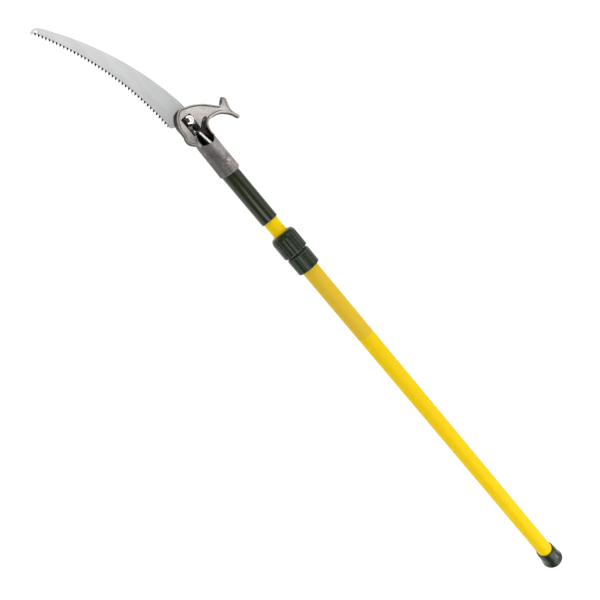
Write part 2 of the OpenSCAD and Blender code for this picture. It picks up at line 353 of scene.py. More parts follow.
M_LOCK = lock_material()
def outer_yellow():
    """The outer tube's yellow, with a plain dull film round it just below the lock."""
    mt = two_tone("fibreglass_yellow_outer", (0.905, 0.615, 0.002), (0.915, 0.635, 0.004), 40, 0.42, 0.5, stretch=(0.12, 1, 1), bump_amt=0.00002, bump_scale=500, spec=0.07)
    nt = mt.node_tree
    b = [n for n in nt.nodes if n.type == "BSDF_PRINCIPLED"][0]
    col = b.inputs["Base Color"].links[0].from_socket
    sep = nt.nodes.new("ShaderNodeSeparateXYZ")
    nt.links.new(coords(nt), sep.inputs[0])
    lo = math_node(nt, "MULTIPLY_ADD", sep.outputs[0], 900.0, 900 * 0.0285, clamp=True)
    hi = math_node(nt, "MULTIPLY_ADD", sep.outputs[0], -900.0, 900 * 0.1645, clamp=True)
    band = math_node(nt, "MULTIPLY", lo, hi)
    nt.links.new(mix_col(nt, band, col, (0.80, 0.53, 0.032)), b.inputs["Base Color"])
    return mt


M_YELLOW_OUT = outer_yellow()
# painted light: the inner tube's yellow is brighter than the outer tube's to make up for less light reaching it
M_YELLOW = two_tone("fibreglass_yellow", (0.96, 0.66, 0.002), (0.97, 0.68, 0.004), 40, 0.42, 0.5, stretch=(0.12, 1, 1), bump_amt=0.00002, bump_scale=500, spec=0.07)
M_CAP = two_tone("cap_vinyl", (0.007, 0.013, 0.005), (0.013, 0.020, 0.009), 60, 0.2, 0.34, bump_amt=0.00008, bump_scale=700, spec=0.45)
M_SLEEVE = two_tone("sleeve_vinyl", (0.012, 0.019, 0.003), (0.017, 0.025, 0.006), 30, 0.15, 0.22, stretch=(0.3, 1, 1), bump_amt=0.00003, bump_scale=120, spec=0.48)
# painted shade: a darker copy of the zinc for the hexagons' side walls
M_ZINC_SHADED_WALL = two_tone("zinc_shaded_wall", (0.16, 0.155, 0.14), (0.24, 0.235, 0.22), 200, 0.3, 0.4, metal=0.9)
M_ZINC = two_tone("zinc_plate", (0.80, 0.80, 0.79), (0.88, 0.88, 0.87), 150, 0.16, 0.26, metal=1.0)
M_BLACK = two_tone("black_oxide", (0.003, 0.0026, 0.0026), (0.006, 0.005, 0.005), 120, 0.2, 0.3, spec=0.13)
M_SCREW = two_tone("screw_zinc", (0.55, 0.54, 0.52), (0.72, 0.71, 0.69), 250, 0.2, 0.34, metal=1.0)
M_SEAT = two_tone("zinc_dull", (0.62, 0.63, 0.60), (0.76, 0.77, 0.74), 200, 0.25, 0.4, metal=1.0)
# painted shade: a dark copy of the zinc for the seat's sides facing the neck
M_ZINC_SHADE = two_tone("zinc_painted_shade", (0.10, 0.10, 0.09), (0.20, 0.20, 0.19), 300, 0.3, 0.45, metal=1.0)


def nut_material():
    """Bright zinc with a patch of painted shade on one quarter of the face."""
    mt = two_tone("zinc_nut", (0.80, 0.80, 0.79), (0.88, 0.88, 0.87), 150, 0.16, 0.26, metal=1.0)
    nt = mt.node_tree
    b = [n for n in nt.nodes if n.type == "BSDF_PRINCIPLED"][0]
    col = b.inputs["Base Color"].links[0].from_socket
    at = nt.nodes.new("ShaderNodeVectorMath")
    at.operation = "DISTANCE"
    nt.links.new(coords(nt), at.inputs[0])
    at.inputs[1].default_value = ((HEAD_X + 125.2) / 1000, (AXIS_Y + 3.9) / 1000, (AXIS_Z + 12.8) / 1000)
    wobble = math_node(nt, "MULTIPLY_ADD", noise(nt, coords(nt), 500), 0.0022, -0.0011)
    far = math_node(nt, "ADD", at.outputs["Value"], wobble)
    # painted shade: zinc darkened near one point on the nut's top
    painted_shade = math_node(nt, "MULTIPLY_ADD", far, -900.0, 900 * 0.0056, clamp=True)
    nt.links.new(mix_col(nt, painted_shade, col, (0.055, 0.055, 0.052)), b.inputs["Base Color"])
    return mt


M_NUT = nut_material()
M_NYLON = two_tone("nylon", (0.78, 0.76, 0.68), (0.84, 0.82, 0.75), 60, 0.4, 0.5)
M_WASHER = two_tone("washer_plastic", (0.02, 0.02, 0.02), (0.03, 0.03, 0.03), 60, 0.45, 0.55)
M_WOOD = two_tone("dowel_wood", (0.45, 0.27, 0.13), (0.58, 0.38, 0.20), 60, 0.55, 0.7, stretch=(0.08, 1, 1))


def cast_material():
    mt, nt, b = new_mat("cast_aluminium")
    v = coords(nt)
    broad = noise(nt, v, 34, 3.0, 0.55)
    fine = noise(nt, v, 420, 3.0, 0.75)
    grain = math_node(nt, "MULTIPLY_ADD", fine, 0.75, -0.12)
    tone = math_node(nt, "MULTIPLY_ADD", broad, 0.5, grain)
    wall = ramp(nt, tone, [(0.36, (0.070, 0.065, 0.060)), (0.50, (0.105, 0.098, 0.090)), (0.64, (0.16, 0.15, 0.14))])
    neck = ramp(nt, tone, [(0.38, (0.15, 0.135, 0.132)), (0.50, (0.225, 0.205, 0.200)), (0.62, (0.35, 0.325, 0.315))])
    shade = nt.nodes.new("ShaderNodeVectorMath")
    shade.operation = "SCALE"
    nt.links.new(neck, shade.inputs[0])
    face = ramp(nt, tone, [(0.36, (0.50, 0.463, 0.436)), (0.50, (0.65, 0.607, 0.575)), (0.64, (0.77, 0.733, 0.70))])
    at2 = nt.nodes.new("ShaderNodeVertexColor")
    at2.layer_name = "cast_face"
    sep2 = nt.nodes.new("ShaderNodeSeparateColor")
    nt.links.new(at2.outputs["Color"], sep2.inputs["Color"])
    # neck colour scaled by the painted light round the neck
    nt.links.new(math_node(nt, "MULTIPLY", sep2.outputs[2], 2.0), shade.inputs["Scale"])
    base = mix_col(nt, sep2.outputs[0], mix_col(nt, sep2.outputs[1], wall, shade.outputs[0]), face)
    at = nt.nodes.new("ShaderNodeVertexColor")
    at.layer_name = "cast_painted_light"
    sep = nt.nodes.new("ShaderNodeSeparateColor")
    nt.links.new(at.outputs["Color"], sep.inputs["Color"])
    op, edge_highlight, rib = sep.outputs[0], sep.outputs[1], sep.outputs[2]
    # painted shade: closed-in places mixed towards near black
    closed = math_node(nt, "MULTIPLY_ADD", op, -2.0, 1.75, clamp=True)
    c1 = mix_col(nt, closed, base, (0.042, 0.032, 0.028))
    # painted highlights: edges, then the rib's top, mixed towards pale grey
    edge_highlight_fac = math_node(nt, "MULTIPLY_ADD", edge_highlight, 1.5, -0.15, clamp=True)
    c2 = mix_col(nt, edge_highlight_fac, c1, (0.78, 0.75, 0.72))
    c3 = mix_col(nt, rib, c2, (0.92, 0.905, 0.89))
    nt.links.new(c3, b.inputs["Base Color"])
    rough_from(nt, b, fine, 0.40, 0.60)
    b.inputs["Metallic"].default_value = 0.85
    b.inputs["Specular Tint"].default_value = (0.7, 0.7, 0.7, 1)
    bump(nt, b, fine, 1.0, 0.0004)
    return mt


M_CAST = cast_material()


def blade_material():
    """Ground steel, darker towards the root as painted shade near the casting."""
    mt, nt, b = new_mat("blade_steel")
    v = coords(nt, (1, 5, 1))
    f = noise(nt, v, 14, 3.0, 0.5)
    grind = noise(nt, coords(nt, (1.0, 40, 1)), 40, 2.0, 0.6)
    sep = nt.nodes.new("ShaderNodeSeparateXYZ")
    nt.links.new(coords(nt), sep.inputs[0])
    along = math_node(nt, "MULTIPLY_ADD", sep.outputs[0], 1.0 / 0.25, -0.55 / 0.25, clamp=True)
    root = ramp(nt, f, [(0.3, (0.415, 0.418, 0.42)), (0.7, (0.475, 0.478, 0.48))])
    tip = ramp(nt, f, [(0.3, (0.60, 0.603, 0.605)), (0.7, (0.68, 0.683, 0.685))])
    # painted shade: darker towards the root
    nt.links.new(mix_col(nt, along, root, tip), b.inputs["Base Color"])
    rough_from(nt, b, grind, 0.34, 0.48)
    b.inputs["Metallic"].default_value = 0.6
    return mt


M_BLADE = blade_material()
# painted shade: near-black material for the ground tooth facets
M_TOOTH_SHADE = two_tone("tooth_facet_shade", (0.012, 0.012, 0.013), (0.03, 0.03, 0.03), 200, 0.3, 0.4, metal=0.6)

BY_SLOT = {
    "fibreglass_yellow": M_YELLOW, "cap_vinyl": M_CAP, "sleeve_vinyl": M_SLEEVE, "lock_plastic": M_LOCK,
    "cast_aluminium": M_CAST, "blade_steel": M_BLADE, "zinc_steel": M_ZINC, "black_steel": M_BLACK,
    "nylon": M_NYLON, "washer_plastic": M_WASHER, "dowel_wood": M_WOOD,
}
slots = {s["node"]: s["material_slot"] for s in frame["record"]["subparts"]}
for n, o in frame["nodes"].items():
    o.data.materials.clear()
    o.data.materials.append(BY_SLOT[slots[n]])

# ---------------------------------------------------------------- casting
def plate_outline(d):
    return [
        (68, 15), (77.0, 18.4), (83, 24.4), (87.5, 28.3), (94, 31), (101, 30.2), (107, 28.0),
        (116, 27.4 + d * 0.1), (125 + d * 0.6, 25 + d * 0.9), (133 + d * 0.9, 20.8 + d * 1.2), (139 + d * 1.0, 17 + d * 1.1),
        (145 + d * 1.3, 10.5 + d * 0.8), (149.6 + d * 0.7, 2), (150.6, -3), (148.4, -10),
        (143.4, -26.6), (134, -44.4), (123.5, -57.6), (113, -69.4),
        (111.2 + d * 0.8, -75.4 + d * 0.2), (115.6 + d * 1.1, -81.2 + d * 0.1), (119.6 + d * 1.0, -86.2 - d * 0.1), (120.4 + d * 1.0, -88.8),
        (117.4 + d * 0.8, -91.6), (112.6, -91.8), (106.6, -90.0), (98.6, -87.2), (91.4, -86.4),
        (83.6, -88.6), (77, -92.2), (72.6, -92.6), (71.6, -89.6), (74.8, -86.2), (80.2, -83.8),
        (87.4, -78.8), (93.8, -71.8), (99.2, -63.6), (102.2, -53.5), (103.2, -43),
        (101.6, -35.4), (98.2, -29.8), (92.4, -26.2), (84, -23.8), (72, -21.6),
    ]


HOLLOW_RIGHT = [
    (64, -4.0), (80, -4.0), (93, -4.4), (98.5, -5.2), (101, -10.9), (104.8, -16.5), (108.9, -22.0), (111.9, -27.6), (112.6, -32.5),
    (110.5, -36.4), (107.6, -35.0), (104.0, -30.6), (99.8, -26.2), (95.2, -23.4), (90.6, -22.0), (83.4, -21.0), (75.7, -20.6), (64, -20.6),
]
HOLLOW_LEFT = [
    (62, 1.6), (80, 1.6), (91, 1.8), (98.0, 2.4), (94.6, 4.6), (89.4, 8.4), (83.6, 11.4), (78.7, 12.0), (73.4, 11.6), (68.6, 9.6), (64.0, 7.0), (62, 4),
]
PLATE_Z0, PLATE_Z1 = -1.5, 9.5
NECK_R = 22.9
SCREW_U, SCREW_TILT = 20.5, 18.0
BOLT_Y = -1.2
BOLT_U = (105.2, 124.0)


def casting_field(h):
    lo = np.array([-9.0, -97.0, -27.5])
    hi = np.array([158.0, 36.0, 27.5])
    n = np.ceil((hi - lo) / h).astype(int) + 1
    u1 = lo[0] + np.arange(n[0]) * h
    y1 = lo[1] + np.arange(n[1]) * h
    z1 = lo[2] + np.arange(n[2]) * h
    U2, Y2 = np.meshgrid(u1, y1, indexing="ij")
    low = poly_field(closed_curve(plate_outline(3.4), 4), U2, Y2)
    high = poly_field(closed_curve(plate_outline(0.0), 4), U2, Y2)
    hr = poly_field(closed_curve(HOLLOW_RIGHT, 4), U2, Y2)
    hl = poly_field(closed_curve(HOLLOW_LEFT, 4), U2, Y2)
    inset = -high
    # level of the plate's face: a raised bead round the edge, a groove inside it, a lower web
    rising = np.gradient(inset, h, axis=0) > 0.25
    mid = 3.5 + np.where(rising & (Y2 < -12), 1.5, 0.0)
    bead = 1.0 - step(inset, mid - 1.1, mid)
    groove = np.exp(-((inset - mid) / 0.75) ** 2)
    fade = step(U2, 74, 84)
    hook = 1.0 - step(-Y2, 66, 76)
    face = PLATE_Z1 - 1.4 + 1.4 * bead - 1.05 * groove * hook
    face = face * fade + (PLATE_Z1 - 1.0) * (1 - fade)
    face = face - 2.6 * (1 - step(hl, 0, 11)) * step(Y2, 1, 6)
    face = face - 1.4 * (1 - step(hr, 0, 5)) * step(-Y2, 8, 14) * (1 - step(-hr, 0, 1))
    floor_r = 0.5 + 0 * U2

    U = u1[:, None, None]
    Y = y1[None, :, None]
    Z = z1[None, None, :]
    t = np.clip((Z - PLATE_Z0) / (PLATE_Z1 - PLATE_Z0), 0, 1)
    side = low[:, :, None] * (1 - t) + high[:, :, None] * t
    plate = rmax(side, Z - face[:, :, None], 1.7)
    plate = rmax(plate, PLATE_Z0 - Z, 0.8)
    # socket neck, a little to the hook side of the pole and narrowing to the plate
    rad = np.sqrt(Y * Y + Z * Z)
    yc = -1.4 - 0.014 * U
    rad_n = np.sqrt((Y - yc) ** 2 + Z * Z)
    neck = rad_n - (23.0 - 0.0147 * (U + 8))
    mouth = (1.0 - Z * math.tan(math.radians(12)) - U) * math.cos(math.radians(12))
    neck = rmax(neck, mouth, 3.2)
    end = 66.0 + np.where(Y < -5, 6.4 * ((-5 - Y) / 12.0) ** 2, 0) + np.clip(Y * 0.39, 0, 8.5)
    neck = rmax(neck, U - end, 1.3)
    boss = np.maximum(rad_n - 21.6, U - 73.5)
    ball = np.sqrt((U - 73.5) ** 2 + (Y + 2.4) ** 2 + Z * Z) - 21.6
    boss = np.maximum(np.minimum(np.maximum(boss, 60 - U), ball), Z - (PLATE_Z1 - 1.2))
    body = rmin(neck, boss, 1.0)
    body = rmin(body, plate, 2.4)
    # the bosses of the two screws
    for q in (0.0, 180.0):
        a = math.radians(SCREW_TILT + q)
        ay, az = -math.sin(a), math.cos(a)
        along = Y * ay + Z * az
        off = np.sqrt((U - SCREW_U) ** 2 + (Y * az - Z * ay) ** 2)
        b = rmax(rmax(off - 7.4, along - (NECK_R + (1.0 if q == 0 else 0.2)), 1.2), 12 - along, 1.0)
        body = rmin(body, b, 2.5)
    # hollows beside the rib
    far = (98.5 - U) * 0.889 - (Y + 5.2) * 0.459
    cut_r = rmax(hr[:, :, None] + (8 - Z) * (0.10 + 0.32 * step(far, 2, 6) * step(-Y, 10, 14)), floor_r[:, :, None] - Z, 2.0)
    cut_l = rmax(hl[:, :, None] + (8 - Z) * (0.10 + 0.85 * step(Y, 3, 9)), floor_r[:, :, None] - Z, 2.0)
    in_plate = end - 0.4 - U
    body = rmax(body, -rmax(cut_r, in_plate, 0.5), 1.1)
    body = rmax(body, -rmax(cut_l, in_plate, 0.5), 1.1)
    # socket
    body = rmax(body, -np.maximum(rad - 19.35, U - 12), 0.5)
    core = np.maximum(rad - 15.95, U - 77)
    core = np.minimum(core, np.sqrt((U - 77) ** 2 + Y * Y + Z * Z) - 15.95)
    body = rmax(body, -core, 0.5)
    # long slope down the outer side of the left hollow
    h3 = hl[:, :, None]
    slope = np.maximum(Z - np.minimum(7.6, 8.0 - 0.8 * (12.4 - Y)), -1.4 - Z)
    slope = np.maximum(slope, np.maximum(np.maximum(68.0 - U, U - 98), np.maximum(5.4 - Y, h3 - 3.5)))
    body = rmin(body, slope, 0.4)
    # pocket for the fasteners
    qx = np.abs(U - (95.8 + 133.9) / 2) - (133.9 - 95.8) / 2
    near_y = -10.7 - 1.1 * np.clip((U - 98) / 36, 0, 1)
    qy = np.maximum(Y - 11.5, near_y - Y)
    pocket = rmax(rmax(qx, qy, 1.2), 3.0 - Z, 0.6)
    body = rmax(body, -pocket, 0.6)
    for bu in BOLT_U:
        body = np.maximum(body, -(np.sqrt((U - bu) ** 2 + (Y - BOLT_Y) ** 2) - 5.2))
    # rib from the neck down to the plate
    top = 9.8 + (96.4 - U) * (20.5 - 9.8) / (96.4 - 66.5)
    low_edge = np.where(U < 82, -17.0, np.where(U < 92, -17.0 + (U - 82) * 0.9, -8.0 + (U - 92) * 2.27))
    rib = rmax(np.abs(Y - BOLT_Y) - 2.5, Z - top, 0.7)
    rib = rmax(rib, low_edge - Z, 0.5)
    rib = np.maximum(np.maximum(rib, 65.9 - U), U - 95.8)
    body = rmin(body, rib, 1.0)
    body = np.maximum(body, -(rad - 15.95) * (U < 66.0) - 100 * (U >= 66.0))
    # screw holes
    for q in (0.0, 180.0):
        a = math.radians(SCREW_TILT + q)
        ay, az = -math.sin(a), math.cos(a)
        along = Y * ay + Z * az
        off = np.sqrt((U - SCREW_U) ** 2 + (Y * az - Z * ay) ** 2)
        body = rmax(body, -np.maximum(off - 3.6, (NECK_R - 0.6) - along), 0.5)
        body = np.maximum(body, -np.maximum(off - 2.05, 10 - along))
    return body.astype(np.float32), lo


def sample(f, lo, h, p, outside):
    """Values of a grid field at points, by trilinear interpolation."""
    g = (p - lo) / h
    n = np.array(f.shape) - 1
    ok = ((g >= 0) & (g < n)).all(1)
    q = np.clip(g, 0, n - 1e-6)
    i = q.astype(int)
    t = q - i
    out = np.zeros(len(p))
    for dx in (0, 1):
        for dy in (0, 1):
            for dz in (0, 1):
                w = (t[:, 0] if dx else 1 - t[:, 0]) * (t[:, 1] if dy else 1 - t[:, 1]) * (t[:, 2] if dz else 1 - t[:, 2])
                out += w * f[i[:, 0] + dx, i[:, 1] + dy, i[:, 2] + dz]
    return np.where(ok, out, outside)


def poly_at(poly, px, py):
    """Signed distance of scattered points to a closed outline, negative inside."""
    p = np.asarray(poly, float)
    q = np.roll(p, -1, 0)
    best = np.full(len(px), 1e9)
    inside = np.zeros(len(px), bool)
    for (x0, y0), (x1, y1) in zip(p, q):
        dx, dy = x1 - x0, y1 - y0
        t = np.clip(((px - x0) * dx + (py - y0) * dy) / max(dx * dx + dy * dy, 1e-12), 0, 1)
        best = np.minimum(best, (px - x0 - t * dx) ** 2 + (py - y0 - t * dy) ** 2)
        hit = (y0 > py) != (y1 > py)
        inside ^= hit & (px < x0 + (py - y0) * dx / (dy if dy else 1e-12))
    best = np.sqrt(best)
    return np.where(inside, -best, best)


def build_casting():
    h = 0.58
    f, lo = casting_field(h)
    v, q = surface_nets(f, lo, h)
    ob = make_object("head_casting", to_row(v, HEAD_X), q, M_CAST, "inner_pole", ["saw_head"])
    # painted shade in the hollows and painted highlights on the edges, from how closed in each point is
    n = np.zeros((len(v), 3))
    for ax in range(3):
        e = np.zeros(3)
        e[ax] = h
        n[:, ax] = sample(f, lo, h, v + e, 0.0) - sample(f, lo, h, v - e, 0.0)
    n /= np.maximum(np.linalg.norm(n, axis=1), 1e-9)[:, None]
    open_ = np.zeros(len(v))
    for d, w in ((1.2, 0.22), (2.4, 0.22), (4.5, 0.2), (8.0, 0.2), (12.0, 0.16)):
        open_ += w * np.clip(sample(f, lo, h, v + n * d, d) / d, 0, 1)
    # painted shade in the deep parts of the hollows and the fastener pocket
    in_r = poly_at(closed_curve(HOLLOW_RIGHT, 4), v[:, 0], v[:, 1])
    in_l = poly_at(closed_curve(HOLLOW_LEFT, 4), v[:, 0], v[:, 1])
    far_wall = (n[:, 1] > 0.2) * step(v[:, 0] - 0.35 * v[:, 1], 98, 106) * step(-v[:, 1], 10, 14) * step(v[:, 2], 0.8, 2.6) * (in_r < 2.0)
    deep = np.maximum((1 - step(in_r, 0.2, 1.2)) * (1 - far_wall), (1 - step(in_l, 0.2, 1.2)) * (1 - step(v[:, 1], 4.9, 5.3)))
    deep = deep * (1 - step(v[:, 2], 5.0, 8.4)) * (v[:, 2] > -16) * (v[:, 0] > 66)
    in_pocket = step(v[:, 0], 96.2, 97.0) * (1 - step(v[:, 0], 132.7, 133.5)) * (1 - step(np.abs(v[:, 1]), 11.0, 11.8)) * (1 - step(v[:, 2], 3.5, 7.5))
    wall_d = np.minimum(133.9 - v[:, 0], 11.5 - v[:, 1])
    in_pocket = in_pocket * (1 - 0.8 * step(wall_d, 3.4, 4.8) * step(118.0 - v[:, 0], 0, 3) * step(v[:, 1], 0, 4))
    deep = np.maximum(deep, in_pocket)
    open_ = open_ * (1 - 0.95 * deep)
    # walls that catch the light: the far side of the right hollow and of the pocket, the long slope of the left hollow
    side = (n[:, 1] > 0.45) & (v[:, 1] < -9.3) & (v[:, 1] > -13) & (v[:, 0] > 97) & (v[:, 0] < 133) & (v[:, 2] > 3.6)
    side = np.maximum(side * 1.0, far_wall * (v[:, 2] > -16))
    side = np.maximum(side, step(v[:, 0], 104, 108) * (v[:, 0] < 133) * step(-v[:, 1], 4.5, 7.0) * (v[:, 1] > -12) * (n[:, 2] > 0.5) * (v[:, 2] > 2) * (v[:, 2] < 4))
    open_ = np.maximum(open_, 0.84 * side)
    # painted light: the upper end of the right hollow kept lighter
    open_ = np.maximum(open_, 0.62 * step(v[:, 0] - 0.2 * v[:, 1], 109, 116) * (in_r < 1.0))
    # painted shade grading darker down the long slope of the left hollow
    slope = step(v[:, 1], 4.9, 5.3) * (in_l < 1.6) * (v[:, 2] > -1) * (v[:, 0] > 67) * (v[:, 0] < 97)
    dark = (1 - step(v[:, 1], 5.0, 13.0)) ** 0.7
    open_ = open_ * (1 - slope) + slope * (1.75 - dark) / 2
    # painted highlight on convex edges and beads
    edge_highlight = np.clip((sample(f, lo, h, v - n * 1.6, -1.6) + 1.6) / 1.6, 0, 1) * step(open_, 0.7, 0.92) * (1 - deep) * step(v[:, 0], 12.5, 15) * (1 - side)
    edge_highlight = edge_highlight * (1 - (v[:, 0] > 91) * (v[:, 0] < 99) * (v[:, 1] > 1.6) * (v[:, 1] < 12)) * (1 - slope)
    # painted highlight: the rib's top is painted near white
    top = 9.8 + (96.4 - v[:, 0]) * (20.5 - 9.8) / (96.4 - 66.5)
    rib = (np.abs(v[:, 1] - BOLT_Y) < 2.4) & (v[:, 0] > 67.4) & (v[:, 0] < 97) & (v[:, 2] > top - 0.5) & (n[:, 2] > 0.6)
    # ground faces of the plate lighter than its as-cast walls; the walls are also darkened as painted shade where they
    # face away from the light, and the cheek patches and the darkening towards the toothed side and the hook's tip are
    # painted shade
    flat = step(np.abs(n[:, 2]), 0.45, 0.85) * step(v[:, 0], 66, 74)
    flat = np.maximum(flat * (1 - slope * dark), np.maximum(0.9 * side, 0.5 * slope * (1 - dark)))
    cheek = np.exp(-(((v[:, 0] - 91) / 16.0) ** 2 + ((v[:, 1] - 18) / 12.0) ** 2))
    cheek = 0.52 * cheek + 0.4 * np.exp(-(((v[:, 0] - 109) / 12.0) ** 2 + ((v[:, 1] + 15) / 7.5) ** 2))
    flat = flat * (1 - cheek) * (1 - 0.22 * step(v[:, 1], -4, 16)) * (1 - 0.2 * step(-v[:, 1], 70, 84))
    socket = 1 - step(v[:, 0] - np.clip(v[:, 1], 0, 12), 66, 72)
    at = ob.data.color_attributes.new("cast_painted_light", "FLOAT_COLOR", "POINT")
    col = np.stack([open_, edge_highlight, rib.astype(float), np.ones(len(v))], 1).astype(np.float32)
    at2 = ob.data.color_attributes.new("cast_face", "FLOAT_COLOR", "POINT")
    # painted light round the neck: a dark band and a lit side, set by the angle round the pole
    around = np.degrees(np.arctan2(v[:, 1] + 1.4, v[:, 2]))
    neck_painted_light = np.interp(around, [-180, -125, -90, -40, -22, -10, 0, 10, 20, 30, 50, 62, 76, 100, 150, 180],
                     [1.0, 1.0, 1.5, 1.9, 1.55, 1.4, 1.28, 0.93, 0.70, 0.84, 0.82, 0.78, 0.69, 0.75, 1.0, 1.0])
    at2.data.foreach_set("color", np.stack([flat, socket, neck_painted_light / 2, np.ones(len(v))], 1).astype(np.float32).ravel())
    at.data.foreach_set("color", col.ravel())
    return ob


casting = build_casting()

# ---------------------------------------------------------------- blade
BACK_C, BACK_R = (80.0, 447.0), 469.0
TOOTH_C, TOOTH_R = (132.0, 506.0), 466.5
A0, A1, TEETH, GULLET = -89.1, -55.8, 41, 5.0
BLADE_Z0, BLADE_Z1 = -3.1, -1.5


def tooth_a(k):
    f = k / TEETH
    return A0 + (A1 - A0) * (f * 1.13 - f * f * 0.13)


def on_arc(c, r, a):
    a = math.radians(a)
    return (c[0] + r * math.cos(a), c[1] + r * math.sin(a))


def build_blade():
    base_r = TOOTH_R + GULLET
    # body outline, anticlockwise, along the gullet line; each tooth has a span of it as its base
    outline = [(98, -13), (118, -13.6), (138, -15.4), (150, -16)]
    a = -80.6
    while a <= -47.5:
        outline.append(on_arc(BACK_C, BACK_R, a))
        a += 1.0
    outline += [(397, 102.6), (399, 105), (399.9, 107.5), (400, 111.5), (399.6, 116), (397.8, 120.0)]
    outline.append(on_arc(TOOTH_C, TOOTH_R, A1))
    spans = []
    for k in range(TEETH - 1, -1, -1):
        hi_k, lo_k = k + 0.46, k - 0.16
        p_hi = on_arc(TOOTH_C, base_r, tooth_a(hi_k))
        p_lo = on_arc(TOOTH_C, base_r, tooth_a(max(lo_k, 0.0)))
        spans.append((k, len(outline), len(outline) + 2))
        outline.append(p_hi)
        outline.append(on_arc(TOOTH_C, base_r + 1.5, tooth_a(k + 0.22)))
        outline.append(p_lo)
    outline += [(136.4, 36.0), (133.6, 33.4), (131.5, 29), (130.5, 23), (127, 14), (120, 10), (98, 9)]
    outline = np.array(outline)
    n = len(outline)
    from mathutils.geometry import delaunay_2d_cdt

    hole = [(395.2 + 2.6 * math.cos(t), 110 + 2.6 * math.sin(t)) for t in np.linspace(0, 2 * math.pi, 20, endpoint=False)]
    bolts = [[(bu + 5.15 * math.cos(t), BOLT_Y + 5.15 * math.sin(t)) for t in np.linspace(0, 2 * math.pi, 24, endpoint=False)] for bu in BOLT_U]
    pts = [Vector(p) for p in outline]
    edges = [(i, (i + 1) % n) for i in range(n)]
    rings = []
    for ring in [hole] + bolts:
        s = len(pts)
        pts += [Vector(p) for p in ring]
        edges += [(s + i, s + (i + 1) % len(ring)) for i in range(len(ring))]
        rings.append(list(range(s, s + len(ring))))
    vs, es, fs, ov, oe, of = delaunay_2d_cdt(pts, edges, [], 0, 1e-7)
    v2 = np.array([(p.x, p.y) for p in vs])
    fs = [f for f in fs]
    cen = np.array([v2[list(f)].mean(0) for f in fs])
    keep = poly_field(outline, cen[:, 0], cen[:, 1]) < 0
    for ring in [hole] + bolts:
        keep &= poly_field(np.array(ring), cen[:, 0], cen[:, 1]) > 0
    tri = [f for f, k in zip(fs, keep) if k]
    m = len(v2)
    ch = 0.0
    verts = [(x, y, BLADE_Z1) for x, y in v2] + [(x, y, BLADE_Z0) for x, y in v2]
    faces, mi = [], []
    for f in tri:
        faces.append(tuple(f))
        mi.append(0)
        faces.append(tuple(i + m for i in reversed(f)))
        mi.append(0)
    back = {}
    for i, olds in enumerate(ov):
        for o in olds:
            back[o] = i
    loops = [list(range(n))] + rings
    tooth_edges = {(s, s + 1) for _, s, e in spans} | {(s + 1, e) for _, s, e in spans}
    for li, loop in enumerate(loops):
        for i in range(len(loop)):
            a_, b_ = loop[i], loop[(i + 1) % len(loop)]
            if li == 0 and (a_, b_) in tooth_edges:
                continue
            a2, b2 = back[a_], back[b_]
            q = (a2, a2 + m, b2 + m, b2)
            if li == 0:
                q = q
            faces.append(q)
            mi.append(0)
    # teeth: ground facets down both flanks, near black as painted shade
    for k, s, e in spans:
        hi2, lo2 = back[s], back[e]
        tip = on_arc(TOOTH_C, TOOTH_R, tooth_a(k))
        up = k % 2 == 0
        zt = BLADE_Z1 - (0.25 if up else 1.0)
        zb = BLADE_Z0 + (1.0 if up else 0.25)
        i0 = len(verts)
        verts += [(tip[0], tip[1], zt), (tip[0], tip[1], zb)]
        t1, t0 = i0, i0 + 1
        M1 = back[s + 1]
        M0 = M1 + m
        H1, H0, L1, L0 = hi2, hi2 + m, lo2, lo2 + m
        faces += [(H1, M1, t1), (M1, L1, t1), (H0, t0, M0), (M0, t0, L0), (H0, H1, t1, t0), (L1, L0, t0, t1)]
        mi += [1, 1, 1, 1, 1, 1]
    ob = make_object("blade_ground", to_row(verts, HEAD_X), faces, [M_BLADE, M_TOOTH_SHADE], "inner_pole", ["blade"], smooth=False)
    bm_fix(ob, mi)
    return ob


def bm_fix(ob, mi=None):
    import bmesh

    if mi is not None and len(mi) == len(ob.data.polygons):
        ob.data.polygons.foreach_set("material_index", mi)
    bm = bmesh.new()
    bm.from_mesh(ob.data)
    bmesh.ops.recalc_face_normals(bm, faces=bm.faces)
    bm.to_mesh(ob.data)
    bm.free()
    ob.data.update()


build_blade()

# ---------------------------------------------------------------- pole
SEG = 288


def tube(name, x0, x1, r_out, r_in, material, body, node, x_base):
    c = 0.35
    rx = [(r_out - c, x0), (r_out, x0 + c), (r_out, x1 - c), (r_out - c, x1), (r_in + c, x1), (r_in, x1 - c), (r_in, x0 + c), (r_in + c, x0)]
    v, f = turned(rx, SEG)
    return make_object(name, to_row(v, x_base), [q[::-1] for q in f], material, body, [node], sharp_deg=30)


def rounded(points, radii, n=5):
    """Polyline of [r, x] with each corner rounded by its radius."""
    p = [np.array(q, float) for q in points]
    out = []
    m = len(p)
    for i in range(m):
        a, b, c = p[i - 1], p[i], p[(i + 1) % m]
        r = radii[i] if isinstance(radii, (list, tuple)) else radii
        if r <= 0:
            out.append(b)
            continue
        u, w = a - b, c - b
        lu, lw = np.linalg.norm(u), np.linalg.norm(w)
        u, w = u / lu, w / lw
        ang = math.acos(max(-1, min(1, float(u @ w))))
        if ang > math.pi - 0.05:
            out.append(b)
            continue
        t = min(r / math.tan(ang / 2), lu * 0.45, lw * 0.45)
        s0, s1 = b + u * t, b + w * t
        for k in range(n + 1):
            q = k / n
            out.append((1 - q) ** 2 * s0 + 2 * q * (1 - q) * b + q * q * s1)
    return out


def closed_turned(name, pts, radii, seg, material, body, node, x_base, shape=None, longest=None, sharp=35):
    rx = rounded(pts, radii)
    if longest:
        rx = refine(rx, longest)
    v, f = turned(rx, seg, shape)
    return make_object(name, to_row(v, x_base), [q[::-1] for q in f], material, body, [node] if node else (), sharp_deg=sharp)


